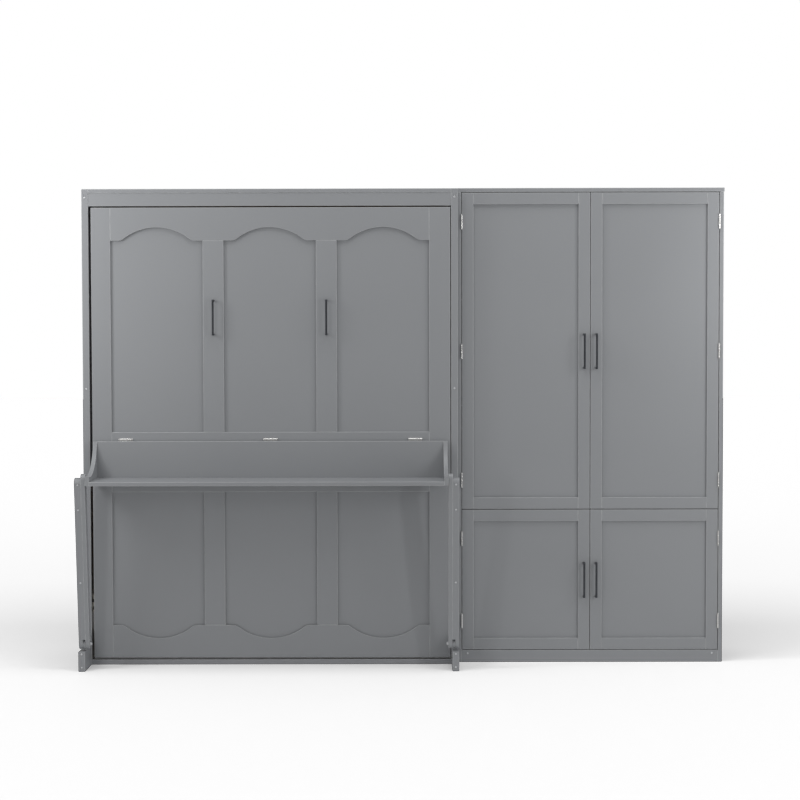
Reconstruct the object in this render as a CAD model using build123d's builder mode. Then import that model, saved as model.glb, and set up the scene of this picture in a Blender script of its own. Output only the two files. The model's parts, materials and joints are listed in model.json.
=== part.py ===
from build123d import *
import os
from math import atan, atan2, cos, hypot, sin

# Wall bed with a hinged shelf that becomes its leg, two parallel arms, and a joined four-door wardrobe.
# Millimetres. X runs along the width, the front faces -Y, Z is up.
# The origin is on the floor, at the middle of the width and of the depth.
# "ahead" is the distance in front of the bed cabinet's front plane.

# ---- overall sizes
bed_width = 1715.0              # bed cabinet, outer face to outer face
bed_height = 2180.0
bed_depth = 440.0               # bed cabinet, front plane to wall
wardrobe_body_width = 1221.0
wardrobe_height = 2184.0
wardrobe_depth = 390.0
top_overhang = 3.0              # wardrobe top board past its free side

# ---- boards
side_board = 18.0               # thickness of the panels that make both cabinets
top_board = 18.0
stile_width = 30.0              # square-edged strip that faces each bed side panel
stile_depth = 22.0
header_height = 60.0
header_thickness = 18.0
header_setback = 2.0              # behind the stiles' faces
toe_height = 22.0
toe_thickness = 16.0
wall_rail_height = 120.0
low_wall_rail_height = 90.0
batten_width = 19.0               # battens inside the side panels, behind the gaps beside the panel
batten_thickness = 16.0
batten_setback = 60.0
batten_bottom = 880.0
headboard_bottom = 260.0
headboard_height = 640.0

# ---- folding bed panel: a frame with three tall bays above a middle rail and three below
panel_left_gap = 12.0           # to the left stile
panel_right_gap = 4.0           # to the right stile
panel_top_gap = 7.0             # to the header rail
panel_toe_gap = 9.0             # to the toe rail
panel_thickness = 20.0
panel_left_stile = 88.0
panel_right_stile = 96.0
panel_mullion = 95.0
panel_end_rail = 150.0          # top and bottom rails, at the arch shoulders
panel_middle_rail = 275.0
middle_rail_bottom = 795.0
arch_rise = 60.0
arch_shoulder = 36.0
arch_cove_radius = 40.0
infill_thickness = 6.0
infill_setback = 10.0           # recess seen from the front
infill_tongue = 10.0            # how far an infill board enters its frame

# ---- bed frame behind the panel
mattress_width = 1524.0
mattress_length = 2032.0
mattress_thickness = 250.0
mattress_side_gap = 10.0
rail_thickness = 22.0
rail_depth = 150.0
end_rail_thickness = 15.0
bearer_width = 40.0
bearer_depth = 40.0
slat_width = 90.0
slat_thickness = 18.0
slat_count = 13

# ---- shelf that hangs on the panel and lands as the bed's leg
shelf_reach = 250.0             # front edge ahead of the cabinet
shelf_board_thickness = 18.0
shelf_bottom = 844.0
shelf_back_height = 167.0       # back board above the shelf
shelf_back_gap = 4.0            # back board to panel face, filled by the closed hinges
end_board_thickness = 18.0
end_board_front = 44.0          # height of an end board at the front edge
end_board_crown = 20.0          # flat top of an end board, at the back

# ---- folding linkage
pivot_behind = 84.0             # bed pivot behind the cabinet's front plane
shelf_hinge_above = 8.0         # hinge axis above the back board
shelf_hinge_radius = 5.0
shelf_hinge_length = 62.0
shelf_hinge_leaf = 1.5
shelf_hinge_leaf_height = 32.0
shelf_hinge_inset = 195.0       # outer hinges from the cabinet's outer faces
arm_pivot_inset = 26.0          # arm pivot behind the shelf's front edge
arm_pivot_above = 30.0          # arm pivot above the shelf's underside
arm_depth = 44.0
arm_bar_thickness = 29.0
arm_strip_thickness = 18.0
arm_bar_top_drop = 18.0         # bar's round end below the strip's
foot_reach = 41.0               # foot block ahead of the arm pivot
foot_front_height = 88.0
foot_tongue = 12.0              # inner part of a foot block, which rises to the pivot
foot_top_radius = 21.5
pivot_pin_radius = 8.0
pivot_plate_thickness = 4.0
pivot_plate_size = 110.0
arm_pin_radius = 5.0
arm_pin_head_radius = 9.0
arm_pin_head = 3.0

# ---- wardrobe
plinth_height = 55.0
plinth_thickness = 18.0
door_gap = 3.0
door_middle_gap = 4.0
lower_door_height = 648.0
door_thickness = 20.0
door_stile = 53.0
back_thickness = 6.0
door_to_board_gap = 1.5         # boards stand this far behind the closed doors
loose_shelf_thickness = 18.0
loose_shelf_side_gap = 1.0
upper_shelf_count = 2
lower_shelf_count = 1
shelf_pin_radius = 2.5
shelf_pin_length = 9.0
door_hinge_radius = 4.0
door_hinge_length = 66.0
door_hinge_leaf = 1.2
door_hinge_leaf_depth = 30.0
door_hinge_inset = 133.0        # hinge middle from a door's end

# ---- fittings
pull_length = 163.0
pull_width = 9.0
pull_thickness = 7.0
pull_projection = 32.0
bed_pull_height = 1594.0        # middle of the bed's pulls
screw_radius = 2.5
screw_head_radius = 4.5
screw_head_height = 1.4
screw_length = 18.0
wall_hole_radius = 4.5
bed_wall_hole_spacing = 1219.2
wardrobe_wall_hole_spacing = 812.8
wall_hole_edge = 60.0           # wall holes from the edge of their rail

# ---- clearances
pin_clearance = 0.08            # shaft to hole
open_pivot_clearance = 0.3      # arm pin to shelf, where the linkage is left open
hinge_clearance = 0.3
arm_foot_clearance = 0.5
arm_shelf_clearance = 1.0
screw_clearance = 0.1
floor_clearance = 0.0           # shelf underside to floor with the bed down

# ---- places worked out from the sizes
wardrobe_width = wardrobe_body_width + top_overhang
total_width = bed_width + wardrobe_width
total_depth = bed_depth + shelf_reach
left = -total_width / 2
seam = left + bed_width                     # where the two cabinets meet
bed_middle = left + bed_width / 2
wardrobe_right = seam + wardrobe_body_width
back = total_depth / 2
front = back - bed_depth                    # bed cabinet's front plane
wardrobe_front = back - wardrobe_depth

panel_left = left + stile_width + panel_left_gap
panel_right = left + bed_width - stile_width - panel_right_gap
panel_inside = (panel_left + panel_left_stile, panel_right - panel_right_stile)
panel_bottom = toe_height + panel_toe_gap
panel_top = bed_height - top_board - header_height - panel_top_gap
panel_back = front + panel_thickness
bay_width = (panel_inside[1] - panel_inside[0] - 2 * panel_mullion) / 3
bay_starts = [panel_inside[0] + i * (bay_width + panel_mullion) for i in range(3)]
upper_bay = (middle_rail_bottom + panel_middle_rail, panel_top - panel_end_rail)
lower_bay = (panel_bottom + panel_end_rail, middle_rail_bottom)

frame_left = bed_middle - mattress_width / 2 - mattress_side_gap - rail_thickness
frame_right = 2 * bed_middle - frame_left

shelf_left = left + arm_bar_thickness + arm_strip_thickness + arm_shelf_clearance
shelf_right = 2 * bed_middle - shelf_left
shelf_top = shelf_bottom + shelf_board_thickness
back_board_top = shelf_top + shelf_back_height

# pivots as (ahead, height): the four make a parallelogram, so the shelf stays level
shelf_pivot = (shelf_hinge_radius + hinge_clearance, back_board_top + shelf_hinge_above)
bed_pivot = (-pivot_behind, shelf_pivot[0] + pivot_behind + shelf_pivot[1] - shelf_bottom + floor_clearance)
arm_top_pivot = (shelf_reach - arm_pivot_inset, shelf_bottom + arm_pivot_above)
arm_foot_pivot = (
    bed_pivot[0] + arm_top_pivot[0] - shelf_pivot[0],
    bed_pivot[1] + arm_top_pivot[1] - shelf_pivot[1],
)
arm_length = hypot(arm_top_pivot[0] - arm_foot_pivot[0], arm_top_pivot[1] - arm_foot_pivot[1])
arm_lean = atan2(arm_top_pivot[0] - arm_foot_pivot[0], arm_top_pivot[1] - arm_foot_pivot[1])
arm_bar_start = foot_top_radius + 3 * arm_foot_clearance
arm_cheek = arm_bar_thickness - foot_tongue - 2 * arm_foot_clearance

lower_door = (plinth_height + door_gap, plinth_height + door_gap + lower_door_height)
upper_door = (lower_door[1] + door_middle_gap, wardrobe_height - top_board - door_gap)
opening_left = seam + side_board
opening_right = wardrobe_right - side_board
opening_middle = (opening_left + opening_right) / 2
boards_front = wardrobe_front + door_thickness + door_to_board_gap
boards_back = back - back_thickness
middle_shelf_bottom = (lower_door[1] + upper_door[0] - side_board) / 2


def save(piece, name):
    """Label a finished piece and write it as one STEP file."""
    piece.label = name
    export_step(piece, f"parts/{name}.step")


def save_group(pieces, name):
    """Write several separate solids of one kind as one node."""
    save(Compound(children=list(pieces)), name)


def side_plane(x):
    """Sketch plane seen from the left: first axis ahead of the bed cabinet, second axis up."""
    return Plane(origin=(x, front, 0), x_dir=(0, -1, 0), z_dir=(-1, 0, 0))


def front_plane(y):
    """Sketch plane seen from the front: X and height, growing towards the viewer."""
    return Plane(origin=(0, y, 0), x_dir=(1, 0, 0), z_dir=(0, -1, 0))


def mirrored(piece):
    """The same piece on the bed's other side."""
    return mirror(piece, about=Plane.YZ.offset(bed_middle))


def board(x, y, z):
    """Plain board between two values of x, y and z."""
    with BuildPart() as plank:
        with BuildSketch(Plane.XY.offset(z[0])):
            with Locations(((x[0] + x[1]) / 2, (y[0] + y[1]) / 2)):
                Rectangle(x[1] - x[0], y[1] - y[0])
        extrude(amount=z[1] - z[0])
    return plank.part


def drilled_board(x, y, z, holes, radius):
    """Board with holes from front to back; holes are (x, z) points."""
    with BuildPart() as plank:
        with BuildSketch(front_plane(y[1])):
            with Locations(((x[0] + x[1]) / 2, (z[0] + z[1]) / 2)):
                Rectangle(x[1] - x[0], z[1] - z[0])
            with Locations(*holes):
                Circle(radius, mode=Mode.SUBTRACT)
        extrude(amount=y[1] - y[0])
    return plank.part


def face_screw(x, y, z):
    """Screw driven from the front into a face at y, its low round head proud of the face."""
    with BuildPart() as screw:
        with BuildSketch(front_plane(y)):
            with Locations((x, z)):
                Circle(screw_head_radius)
        extrude(amount=screw_head_height)
        fillet(screw.edges().filter_by(GeomType.CIRCLE).sort_by(Axis.Y)[0], screw_head_height * 0.6)
        with BuildSketch(front_plane(y)):
            with Locations((x, z)):
                Circle(screw_radius)
        extrude(amount=-screw_length)
    return screw.part


def bar_pull(x, y, z):
    """Slim bow handle, upright, standing on a face at y and centred at (x, z)."""
    with BuildPart() as pull:
        with BuildSketch(Plane(origin=(x, y, z), x_dir=(0, -1, 0), z_dir=(-1, 0, 0))):
            with Locations((pull_projection / 2, 0)):
                Rectangle(pull_projection, pull_length)
            with Locations(((pull_projection - pull_thickness) / 2, 0)):
                Rectangle(pull_projection - pull_thickness, pull_length - 2 * pull_width, mode=Mode.SUBTRACT)
        extrude(amount=pull_width / 2, both=True)
        outer_corners = pull.edges().filter_by(Axis.X).group_by(Axis.Y)[0]
        fillet(outer_corners, pull_thickness * 0.7)
    return pull.part


# ---- bed cabinet
stile_screw_heights = (bed_height - 39, 1269.0)
stile_screw_x = left + stile_width / 2
foot_screw_heights = (18.0, foot_front_height - 10)
foot_screw_x = left + (arm_bar_thickness - arm_foot_clearance) / 2
plinth_screws = [(opening_left + 28, plinth_height - 15), (opening_right - 28, plinth_height - 15)]


def make_bed_cabinet():
    """Side panels faced with stiles, the boards between them, and the foot blocks."""
    inner = (left + side_board, left + bed_width - side_board)
    under_top = bed_height - top_board
    side = board((left, inner[0]), (front + stile_depth, back), (0, under_top))
    save(side, "bed_side_panel_left")
    save(mirrored(side), "bed_side_panel_right")

    holes = [(stile_screw_x, height) for height in stile_screw_heights]
    stile = drilled_board((left, left + stile_width), (front, front + stile_depth), (0, bed_height),
                          holes, screw_radius + screw_clearance)
    stiles = [stile, mirrored(stile)]
    save_group(stiles, "bed_face_stiles")

    with BuildPart() as top:
        add(board((left, left + bed_width), (front, back), (under_top, bed_height)))
        add(stiles, mode=Mode.SUBTRACT)
    save(top.part, "bed_top_board")

    between_stiles = (left + stile_width, left + bed_width - stile_width)
    header_y = (front + header_setback, front + header_setback + header_thickness)
    save(board(between_stiles, header_y, (under_top - header_height, under_top)), "bed_header_rail")
    save(board(between_stiles, (front, front + toe_thickness), (0, toe_height)), "bed_toe_rail")

    batten = board((inner[0], inner[0] + batten_width),
                   (front + batten_setback, front + batten_setback + batten_thickness),
                   (batten_bottom, under_top))
    save_group([batten, mirrored(batten)], "bed_side_battens")

    half_spacing = bed_wall_hole_spacing / 2
    upper_holes = [(bed_middle + side * half_spacing, under_top - wall_hole_edge) for side in (-1, 1)]
    upper = drilled_board(inner, (back - side_board, back), (under_top - wall_rail_height, under_top),
                          upper_holes, wall_hole_radius)
    low = board(inner, (back - side_board, back), (0, low_wall_rail_height))
    save_group([upper, low], "bed_wall_rails")
    lower_holes = [(bed_middle + side * half_spacing, headboard_bottom + wall_hole_edge) for side in (-1, 1)]
    lower = drilled_board(inner, (back - side_board, back),
                          (headboard_bottom, headboard_bottom + headboard_height), lower_holes, wall_hole_radius)
    save(lower, "bed_headboard")


def make_foot_blocks():
    """Blocks that carry the arms: a low block, and a tongue on its inner side up to the pivot."""
    ahead, height = arm_foot_pivot
    thickness = arm_bar_thickness - arm_foot_clearance
    with BuildPart() as foot:
        with BuildSketch(side_plane(left + thickness)):
            with Locations(((ahead + foot_reach) / 2, foot_front_height / 2)):
                Rectangle(ahead + foot_reach, foot_front_height)
        extrude(amount=thickness)
        with BuildSketch(side_plane(left + thickness)):
            with Locations((ahead / 2, (height + foot_top_radius) / 2)):
                Rectangle(ahead, height + foot_top_radius)
            with Locations((ahead, height)):
                Circle(foot_top_radius)
                Circle(arm_pin_radius + pin_clearance, mode=Mode.SUBTRACT)
        extrude(amount=foot_tongue)
        with BuildSketch(front_plane(front - ahead - foot_reach)):
            with Locations(*[(foot_screw_x, z) for z in foot_screw_heights]):
                Circle(screw_radius + screw_clearance)
        extrude(amount=-screw_length - 1, mode=Mode.SUBTRACT)
    save(foot.part, "foot_block_left")
    save(mirrored(foot.part), "foot_block_right")


def make_pivot_plates():
    """Steel plates and pins that the bed turns on, and the drilled plates on the bed frame."""
    ahead, height = bed_pivot
    inner = left + side_board
    frame_face = frame_left - inner
    with BuildPart() as fixed:
        with BuildSketch(side_plane(inner + pivot_plate_thickness)):
            with Locations((ahead, height)):
                RectangleRounded(pivot_plate_size * 0.8, pivot_plate_size, 8)
        extrude(amount=pivot_plate_thickness)
        with BuildSketch(side_plane(inner + pivot_plate_thickness)):
            with Locations((ahead, height)):
                Circle(pivot_pin_radius)
        extrude(amount=-(frame_face - pivot_plate_thickness + rail_thickness - 2))
    save_group([fixed.part, mirrored(fixed.part)], "cabinet_pivot_plates")

    with BuildPart() as moving:
        with BuildSketch(side_plane(frame_left)):
            with Locations((ahead, height)):
                RectangleRounded(pivot_plate_size * 0.8, pivot_plate_size, 8)
                Circle(pivot_pin_radius + pin_clearance, mode=Mode.SUBTRACT)
        extrude(amount=pivot_plate_thickness)
    save_group([moving.part, mirrored(moving.part)], "bed_pivot_plates")


def make_face_screws():
    """The screws that show on the stiles, foot blocks and plinth."""
    screws = [face_screw(stile_screw_x, front, height) for height in stile_screw_heights]
    foot_face = front - arm_foot_pivot[0] - foot_reach
    screws += [face_screw(foot_screw_x, foot_face, height) for height in foot_screw_heights]
    screws += [mirrored(screw) for screw in screws]
    screws += [face_screw(x, wardrobe_front, height) for x, height in plinth_screws]
    save_group(screws, "face_screws")


# ---- folding bed panel
def arched_outline(start, shoulder, direction):
    """Cathedral arch over one bay: flat shoulders, small coves, one broad arc.

    start is the bay's left edge, shoulder its height, direction +1 for up and -1 for down.
    """
    half = bay_width / 2
    reach = half - arch_shoulder
    turn = 2 * atan(arch_rise / reach)
    arc_radius = reach / sin(turn) - arch_cove_radius
    cove_x = arch_shoulder + arch_cove_radius * sin(turn)
    cove_z = arch_cove_radius * (1 - cos(turn))
    middle_x = arch_shoulder + arch_cove_radius * sin(turn / 2)
    middle_z = arch_cove_radius * (1 - cos(turn / 2))
    crown_x = half - arc_radius * sin(turn / 2)
    crown_z = arch_rise - arc_radius * (1 - cos(turn / 2))

    def at(x, z):
        return (start + x, shoulder + direction * z)

    Line(at(0, -1), at(0, 0))
    Line(at(0, 0), at(arch_shoulder, 0))
    ThreePointArc(at(arch_shoulder, 0), at(middle_x, middle_z), at(cove_x, cove_z))
    ThreePointArc(at(cove_x, cove_z), at(crown_x, crown_z), at(half, arch_rise))
    ThreePointArc(at(half, arch_rise), at(bay_width - crown_x, crown_z), at(bay_width - cove_x, cove_z))
    ThreePointArc(at(bay_width - cove_x, cove_z), at(bay_width - middle_x, middle_z),
                  at(bay_width - arch_shoulder, 0))
    Line(at(bay_width - arch_shoulder, 0), at(bay_width, 0))
    Line(at(bay_width, 0), at(bay_width, -1))
    Line(at(bay_width, -1), at(0, -1))


def infill_boards(bays, reach):
    """The three infill boards of one row of bays; reach is how far they pass a bay, up and down."""
    infill_y = (front + infill_setback, front + infill_setback + infill_thickness)
    height = (bays[0] - reach[1], bays[1] + reach[0])
    return [board((start - infill_tongue, start + bay_width + infill_tongue), infill_y, height)
            for start in bay_starts]


upper_reach = (arch_rise + infill_tongue, infill_tongue)      # infill past its bay: up, down
lower_reach = (infill_tongue, arch_rise + infill_tongue)


def arched_rail(z, shoulder, direction, bays, reach):
    """Top or bottom rail between the panel's stiles, with three arches cut in its inner edge."""
    with BuildPart() as rail:
        with BuildSketch(front_plane(panel_back)):
            with Locations(((panel_inside[0] + panel_inside[1]) / 2, (z[0] + z[1]) / 2)):
                Rectangle(panel_inside[1] - panel_inside[0], z[1] - z[0])
            for start in bay_starts:
                with BuildLine():
                    arched_outline(start, shoulder, direction)
                make_face(mode=Mode.SUBTRACT)
        extrude(amount=panel_thickness)
        add(infill_boards(bays, reach), mode=Mode.SUBTRACT)
    return rail.part


def make_bed_panel():
    """Stiles, rails, mullions and infill boards of the panel that closes the bed."""
    stiles = []
    for edge, inside in ((panel_left, panel_inside[0]), (panel_inside[1], panel_right)):
        with BuildPart() as stile:
            with BuildSketch(front_plane(panel_back)):
                with Locations(((edge + inside) / 2, (panel_bottom + panel_top) / 2)):
                    Rectangle(inside - edge, panel_top - panel_bottom)
            extrude(amount=panel_thickness)
            add(infill_boards(upper_bay, upper_reach), mode=Mode.SUBTRACT)
            add(infill_boards(lower_bay, lower_reach), mode=Mode.SUBTRACT)
        stiles.append(stile.part)
    save_group(stiles, "bed_panel_stiles")

    save(arched_rail((upper_bay[1], panel_top), upper_bay[1], 1, upper_bay, upper_reach),
         "bed_panel_top_rail")
    save(arched_rail((panel_bottom, lower_bay[0]), lower_bay[0], -1, lower_bay, lower_reach),
         "bed_panel_bottom_rail")

    with BuildPart() as middle:
        with BuildSketch(front_plane(panel_back)):
            with Locations(((panel_inside[0] + panel_inside[1]) / 2,
                            middle_rail_bottom + panel_middle_rail / 2)):
                Rectangle(panel_inside[1] - panel_inside[0], panel_middle_rail)
        extrude(amount=panel_thickness)
        add(infill_boards(upper_bay, upper_reach), mode=Mode.SUBTRACT)
        add(infill_boards(lower_bay, lower_reach), mode=Mode.SUBTRACT)
    save(middle.part, "bed_panel_middle_rail")

    mullions = []
    for start in bay_starts[:2]:
        for bays, reach in ((upper_bay, upper_reach), (lower_bay, lower_reach)):
            with BuildPart() as mullion:
                with BuildSketch(front_plane(panel_back)):
                    with Locations((start + bay_width + panel_mullion / 2, (bays[0] + bays[1]) / 2)):
                        Rectangle(panel_mullion, bays[1] - bays[0])
                extrude(amount=panel_thickness)
                add(infill_boards(bays, reach), mode=Mode.SUBTRACT)
            mullions.append(mullion.part)
    save_group(mullions, "bed_panel_mullions")

    infills = infill_boards(upper_bay, upper_reach) + infill_boards(lower_bay, lower_reach)
    save_group(infills, "bed_panel_infills")


def make_bed_frame():
    """Rails, bearers and slats that carry the mattress, fixed behind the panel."""
    with BuildPart() as side_rail:
        with BuildSketch(side_plane(frame_left + rail_thickness)):
            with Locations((-panel_thickness - rail_depth / 2, (panel_bottom + panel_top) / 2)):
                Rectangle(rail_depth, panel_top - panel_bottom)
            with Locations(bed_pivot):
                Circle(pivot_pin_radius + pin_clearance, mode=Mode.SUBTRACT)
        extrude(amount=rail_thickness)
    inner = (frame_left + rail_thickness, frame_right - rail_thickness)
    rail_y = (panel_back, panel_back + rail_depth)
    head = board(inner, rail_y, (panel_bottom, panel_bottom + end_rail_thickness))
    foot = board(inner, rail_y, (panel_top - end_rail_thickness, panel_top))
    save_group([side_rail.part, mirrored(side_rail.part), head, foot], "bed_frame_rails")

    between_ends = (panel_bottom + end_rail_thickness, panel_top - end_rail_thickness)
    bearer_y = (panel_back, panel_back + bearer_depth)
    bearers = []
    for x in (inner[0], bed_middle - bearer_width / 2, inner[1] - bearer_width):
        bearers.append(board((x, x + bearer_width), bearer_y, between_ends))
    save_group(bearers, "slat_bearers")

    slat_y = (bearer_y[1], bearer_y[1] + slat_thickness)
    free = between_ends[1] - between_ends[0] - slat_count * slat_width
    pitch = slat_width + free / (slat_count + 1)
    slats = []
    for i in range(slat_count):
        bottom = between_ends[0] + free / (slat_count + 1) + i * pitch
        slats.append(board(inner, slat_y, (bottom, bottom + slat_width)))
    save_group(slats, "bed_slats")

    pull_places = [start + bay_width + panel_mullion / 2 for start in bay_starts[:2]]
    save_group([bar_pull(x, front, bed_pull_height) for x in pull_places], "bed_handles")


# ---- shelf
def make_shelf():
    """Back board, shelf and curved end boards: the unit that hangs level while the bed turns."""
    inner = (shelf_left + end_board_thickness, shelf_right - end_board_thickness)
    back_y = (front - shelf_back_gap - shelf_board_thickness, front - shelf_back_gap)
    save(board(inner, back_y, (shelf_top, back_board_top)), "shelf_back_board")
    save(board(inner, (front - shelf_reach, front - shelf_back_gap), (shelf_bottom, shelf_top)), "shelf_board")

    crown = shelf_back_gap + end_board_crown
    lip = shelf_bottom + end_board_front
    belly = (crown + (shelf_reach - crown) * 0.28, lip + (back_board_top - lip) * 0.28)
    with BuildPart() as end_board:
        with BuildSketch(side_plane(shelf_left + end_board_thickness)):
            with BuildLine():
                Polyline((crown, back_board_top), (shelf_back_gap, back_board_top),
                         (shelf_back_gap, shelf_bottom), (shelf_reach, shelf_bottom), (shelf_reach, lip))
                ThreePointArc((shelf_reach, lip), belly, (crown, back_board_top))
            make_face()
            with Locations(arm_top_pivot):
                Circle(arm_pin_radius + open_pivot_clearance, mode=Mode.SUBTRACT)
        extrude(amount=end_board_thickness)
    save(end_board.part, "shelf_end_board_left")
    save(mirrored(end_board.part), "shelf_end_board_right")


def shelf_hinge(x):
    """One butt hinge at x: the leaf on the bed panel with its pin, and the leaf on the shelf."""
    ahead, height = shelf_pivot
    third = shelf_hinge_length / 3
    pin_radius = shelf_hinge_radius * 0.5
    leaf_top = height - shelf_hinge_radius - hinge_clearance
    starts = [x - shelf_hinge_length / 2 + i * third for i in range(3)]

    with BuildPart() as bed_leaf:
        for start in (starts[0], starts[2]):
            with BuildSketch(side_plane(start + third)):
                with Locations((ahead, height)):
                    Circle(shelf_hinge_radius)
                with Locations((shelf_hinge_leaf / 2, (leaf_top - 1 + height) / 2)):
                    Rectangle(shelf_hinge_leaf, height - leaf_top + 1)
            extrude(amount=third)
        with BuildSketch(side_plane(x + shelf_hinge_length / 2)):
            with Locations((ahead, height)):
                Circle(pin_radius)
            with Locations((shelf_hinge_leaf / 2, leaf_top - shelf_hinge_leaf_height / 2)):
                Rectangle(shelf_hinge_leaf, shelf_hinge_leaf_height)
        extrude(amount=shelf_hinge_length)

    leaf_ahead = shelf_back_gap - shelf_hinge_leaf / 2
    with BuildPart() as shelf_leaf:
        with BuildSketch(side_plane(starts[2] - hinge_clearance)):
            with Locations((ahead, height)):
                Circle(shelf_hinge_radius)
            with Locations((leaf_ahead, (leaf_top - 1 + height) / 2)):
                Rectangle(shelf_hinge_leaf, height - leaf_top + 1)
            with Locations((ahead, height)):
                Circle(pin_radius + pin_clearance, mode=Mode.SUBTRACT)
        extrude(amount=third - 2 * hinge_clearance)
        with BuildSketch(side_plane(x + shelf_hinge_length / 2)):
            with Locations((leaf_ahead, leaf_top - shelf_hinge_leaf_height / 2)):
                Rectangle(shelf_hinge_leaf, shelf_hinge_leaf_height)
        extrude(amount=shelf_hinge_length)
    return bed_leaf.part, shelf_leaf.part


def make_shelf_hinges():
    """Three hinges along the top of the shelf's back board."""
    places = (left + shelf_hinge_inset, bed_middle, left + bed_width - shelf_hinge_inset)
    pairs = [shelf_hinge(x) for x in places]
    save_group([bed_leaf for bed_leaf, shelf_leaf in pairs], "bed_hinge_leaves")
    save_group([shelf_leaf for bed_leaf, shelf_leaf in pairs], "shelf_hinge_leaves")


# ---- arms
arm_screw_places = (0.38, 0.82, 0.97)       # along the arm, from its foot pivot


def arm_plane(x):
    """Plane at x whose first axis is square to the arm and whose second runs up the arm."""
    foot = (x, front - arm_foot_pivot[0], arm_foot_pivot[1])
    return Plane(origin=foot, x_dir=(0, -cos(arm_lean), -sin(arm_lean)), z_dir=(-1, 0, 0))


def arm_screw_plane():
    """Plane on the bar's front face, looking out of it, with its origin on the pivots' line."""
    base = arm_plane(left + arm_bar_thickness / 2)
    return Plane(origin=base.origin + base.x_dir * (arm_depth / 2), x_dir=(1, 0, 0), z_dir=base.x_dir)


def make_arm():
    """Left arm: a bar in line with the foot block and a longer strip beside it, with its bolts."""
    bar_end = arm_length - arm_bar_top_drop
    screw_at = [(0, arm_length * place) for place in arm_screw_places]
    with BuildPart() as bar:
        with BuildSketch(arm_plane(left + arm_bar_thickness)):
            with Locations((0, (arm_bar_start + bar_end) / 2)):
                Rectangle(arm_depth, bar_end - arm_bar_start)
            with Locations((0, bar_end)):
                Circle(arm_depth / 2)
        extrude(amount=arm_bar_thickness)
        with BuildSketch(arm_plane(left + arm_cheek)):
            with Locations((0, arm_bar_start / 2)):
                Rectangle(arm_depth, arm_bar_start)
            Circle(arm_depth / 2)
            Circle(arm_pin_radius + screw_clearance, mode=Mode.SUBTRACT)
        extrude(amount=arm_cheek)
        with BuildSketch(arm_screw_plane()):
            with Locations(*screw_at):
                Circle(screw_radius + screw_clearance)
        extrude(amount=-screw_length - 1, mode=Mode.SUBTRACT)

    strip_inner = left + arm_bar_thickness + arm_strip_thickness
    with BuildPart() as strip:
        with BuildSketch(arm_plane(strip_inner)):
            with Locations((0, arm_length / 2)):
                Rectangle(arm_depth, arm_length)
            with Locations((0, 0), (0, arm_length)):
                Circle(arm_depth / 2)
            with Locations((0, 0), (0, arm_length)):
                Circle(arm_pin_radius + screw_clearance, mode=Mode.SUBTRACT)
        extrude(amount=arm_strip_thickness)

    bolts = []
    for place in screw_at:
        with BuildPart() as screw:
            with BuildSketch(arm_screw_plane()):
                with Locations(place):
                    Circle(screw_head_radius)
            extrude(amount=screw_head_height)
            with BuildSketch(arm_screw_plane()):
                with Locations(place):
                    Circle(screw_radius)
            extrude(amount=-screw_length)
        bolts.append(screw.part)
    with BuildPart() as foot_bolt:
        with BuildSketch(arm_plane(strip_inner)):
            Circle(arm_pin_head_radius)
        extrude(amount=-arm_pin_head)
        with BuildSketch(arm_plane(strip_inner)):
            Circle(arm_pin_radius)
        extrude(amount=arm_strip_thickness + arm_bar_thickness * 0.8)
    with BuildPart() as shelf_bolt:
        with BuildSketch(arm_plane(shelf_left + end_board_thickness)):
            with Locations((0, arm_length)):
                Circle(arm_pin_radius)
        extrude(amount=shelf_left + end_board_thickness - left - arm_bar_thickness)
    return bar.part, strip.part, bolts + [foot_bolt.part, shelf_bolt.part]


def make_arms():
    """Both arms, the right one a mirror image."""
    bar, strip, bolts = make_arm()
    save(bar, "arm_left_bar")
    save(strip, "arm_left_strip")
    save_group(bolts, "arm_left_bolts")
    save(mirrored(bar), "arm_right_bar")
    save(mirrored(strip), "arm_right_strip")
    save_group([mirrored(bolt) for bolt in bolts], "arm_right_bolts")


# ---- wardrobe
def make_wardrobe_cabinet():
    """Sides, top, bottom, plinth, back, and the fixed shelf behind the meeting of the doors."""
    under_top = wardrobe_height - top_board
    body_y = (wardrobe_front, back)
    inside = (opening_left, opening_right)
    save(board((seam, opening_left), body_y, (0, under_top)), "wardrobe_side_panel_left")
    save(board((opening_right, wardrobe_right), body_y, (0, under_top)), "wardrobe_side_panel_right")
    save(board((seam, wardrobe_right + top_overhang), body_y, (under_top, wardrobe_height)),
         "wardrobe_top_board")
    save(board(inside, (boards_front, boards_back), (plinth_height, plinth_height + side_board)),
         "wardrobe_bottom_board")
    plinth = drilled_board(inside, (wardrobe_front, wardrobe_front + plinth_thickness), (0, plinth_height),
                           plinth_screws, screw_radius + screw_clearance)
    save(plinth, "wardrobe_plinth_rail")
    save(board(inside, (boards_front, boards_back), (middle_shelf_bottom, middle_shelf_bottom + side_board)),
         "wardrobe_middle_shelf")
    rail_bottom = under_top - wall_rail_height
    half_spacing = wardrobe_wall_hole_spacing / 2
    holes = [(opening_middle + side * half_spacing, under_top - wall_hole_edge) for side in (-1, 1)]
    save(drilled_board(inside, (back - side_board, back), (rail_bottom, under_top), holes, wall_hole_radius),
         "wardrobe_wall_rail")
    save(board(inside, (boards_back, back), (plinth_height, rail_bottom)), "wardrobe_back_panel")


upper_space = (middle_shelf_bottom + side_board, wardrobe_height - top_board)
lower_space = (plinth_height + side_board, middle_shelf_bottom)
partition = (opening_middle - side_board / 2, opening_middle + side_board / 2)
partition_back = back - side_board


def shelf_heights(space, count):
    """Undersides of evenly spaced shelves in a space."""
    clear = (space[1] - space[0] - count * loose_shelf_thickness) / (count + 1)
    return [space[0] + clear + i * (clear + loose_shelf_thickness) for i in range(count)]


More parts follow.
